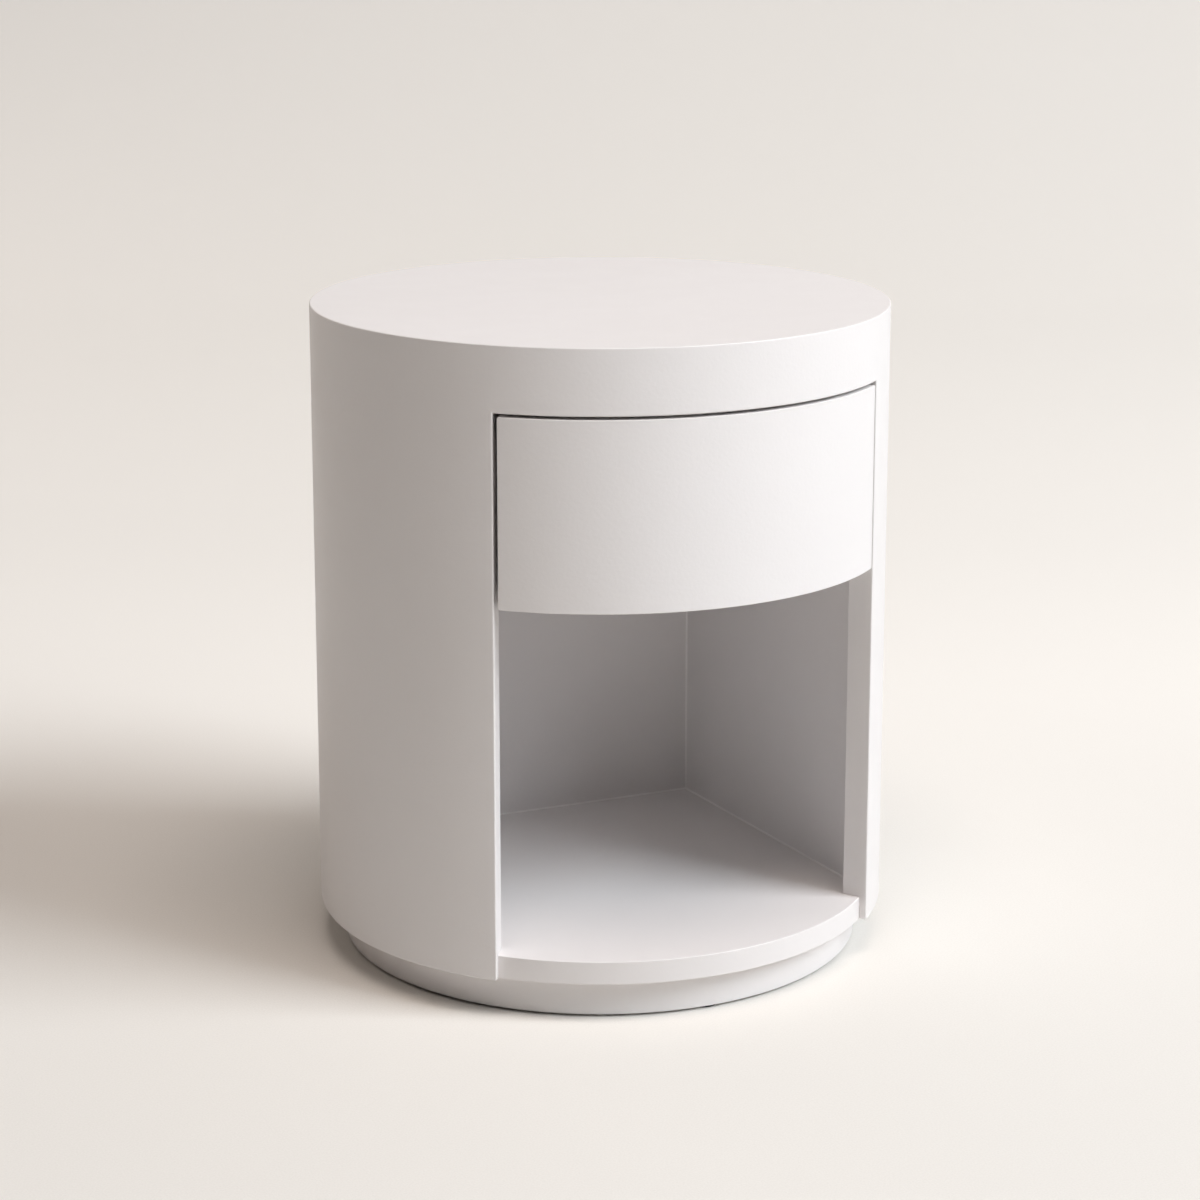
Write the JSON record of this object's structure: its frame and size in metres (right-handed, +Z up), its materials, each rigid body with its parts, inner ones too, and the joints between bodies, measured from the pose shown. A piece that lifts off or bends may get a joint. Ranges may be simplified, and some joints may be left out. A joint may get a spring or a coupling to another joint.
{
  "type": "nightstand",
  "caption": "Drum-shaped white lacquered nightstand with a handleless curved drawer on slides above an open niche, standing on a recessed round plinth.",
  "frame": {"origin": "on the floor, under the centre of the round drum", "axes": "+Z up, -Y towards the front with the drawer and the niche, +X to the right seen from the front"},
  "size_m": [0.45, 0.45, 0.51],
  "materials": {
    "white_lacquer": "satin off-white lacquer on fibreboard",
    "inner_board": "matte pale foil on board",
    "zinc_steel": "bright zinc plating",
    "beech": "raw fluted beech",
    "clear_rubber": "translucent soft pad",
    "black_plastic": "matte black"
  },
  "bodies": {
    "cabinet": {"top_panel": "white_lacquer", "curved_wall": "white_lacquer", "floor_panel": "white_lacquer", "plinth": "white_lacquer", "niche_back_panel": "white_lacquer", "niche_side_panel_left": "white_lacquer", "niche_side_panel_right": "white_lacquer", "niche_ceiling": "white_lacquer", "runner_batten_left": "inner_board", "runner_batten_right": "inner_board", "slide_cabinet_member_left": "zinc_steel", "slide_cabinet_member_right": "zinc_steel", "cabinet_slide_screw_left_front": "zinc_steel", "cabinet_slide_screw_left_back": "zinc_steel", "cabinet_slide_screw_right_front": "zinc_steel", "cabinet_slide_screw_right_back": "zinc_steel", "plinth_screw_front_left": "zinc_steel", "plinth_screw_front_right": "zinc_steel", "plinth_screw_back_left": "zinc_steel", "plinth_screw_back_right": "zinc_steel", "floor_dowel_left_front": "beech", "floor_dowel_left_back": "beech", "floor_dowel_right_front": "beech", "floor_dowel_right_back": "beech", "ceiling_dowel_left_front": "beech", "ceiling_dowel_left_back": "beech", "ceiling_dowel_right_front": "beech", "ceiling_dowel_right_back": "beech", "drawer_bumper_left": "clear_rubber", "drawer_bumper_right": "clear_rubber", "glide_front": "black_plastic", "glide_right": "black_plastic", "glide_back": "black_plastic", "glide_left": "black_plastic"},
    "drawer": {"drawer_front": "white_lacquer", "drawer_side_left": "inner_board", "drawer_side_right": "inner_board", "drawer_back": "inner_board", "drawer_bottom": "inner_board", "slide_drawer_member_left": "zinc_steel", "slide_drawer_member_right": "zinc_steel", "drawer_slide_screw_left_front": "zinc_steel", "drawer_slide_screw_left_back": "zinc_steel", "drawer_slide_screw_right_front": "zinc_steel", "drawer_slide_screw_right_back": "zinc_steel", "front_dowel_left_lower": "beech", "front_dowel_left_upper": "beech", "front_dowel_right_lower": "beech", "front_dowel_right_upper": "beech", "back_dowel_left_lower": "beech", "back_dowel_left_upper": "beech", "back_dowel_right_lower": "beech", "back_dowel_right_upper": "beech"},
    "slide_middle_left": {"slide_middle_member_left": "zinc_steel"},
    "slide_middle_right": {"slide_middle_member_right": "zinc_steel"}
  },
  "joints": [
    {"name": "drawer_slide", "type": "slide", "parent": "cabinet", "child": "drawer", "axis": [0, -1, 0], "range_m": [0, 0.23]},
    {"name": "left_slide_travel", "type": "slide", "parent": "cabinet", "child": "slide_middle_left", "axis": [0, -1, 0], "range_m": [0, 0.115]},
    {"name": "right_slide_travel", "type": "slide", "parent": "cabinet", "child": "slide_middle_right", "axis": [0, -1, 0], "range_m": [0, 0.115]}
  ],
  "couplings": [
    {"joint": "left_slide_travel", "follows": "drawer_slide", "ratio": 0.5},
    {"joint": "right_slide_travel", "follows": "drawer_slide", "ratio": 0.5}
  ]
}
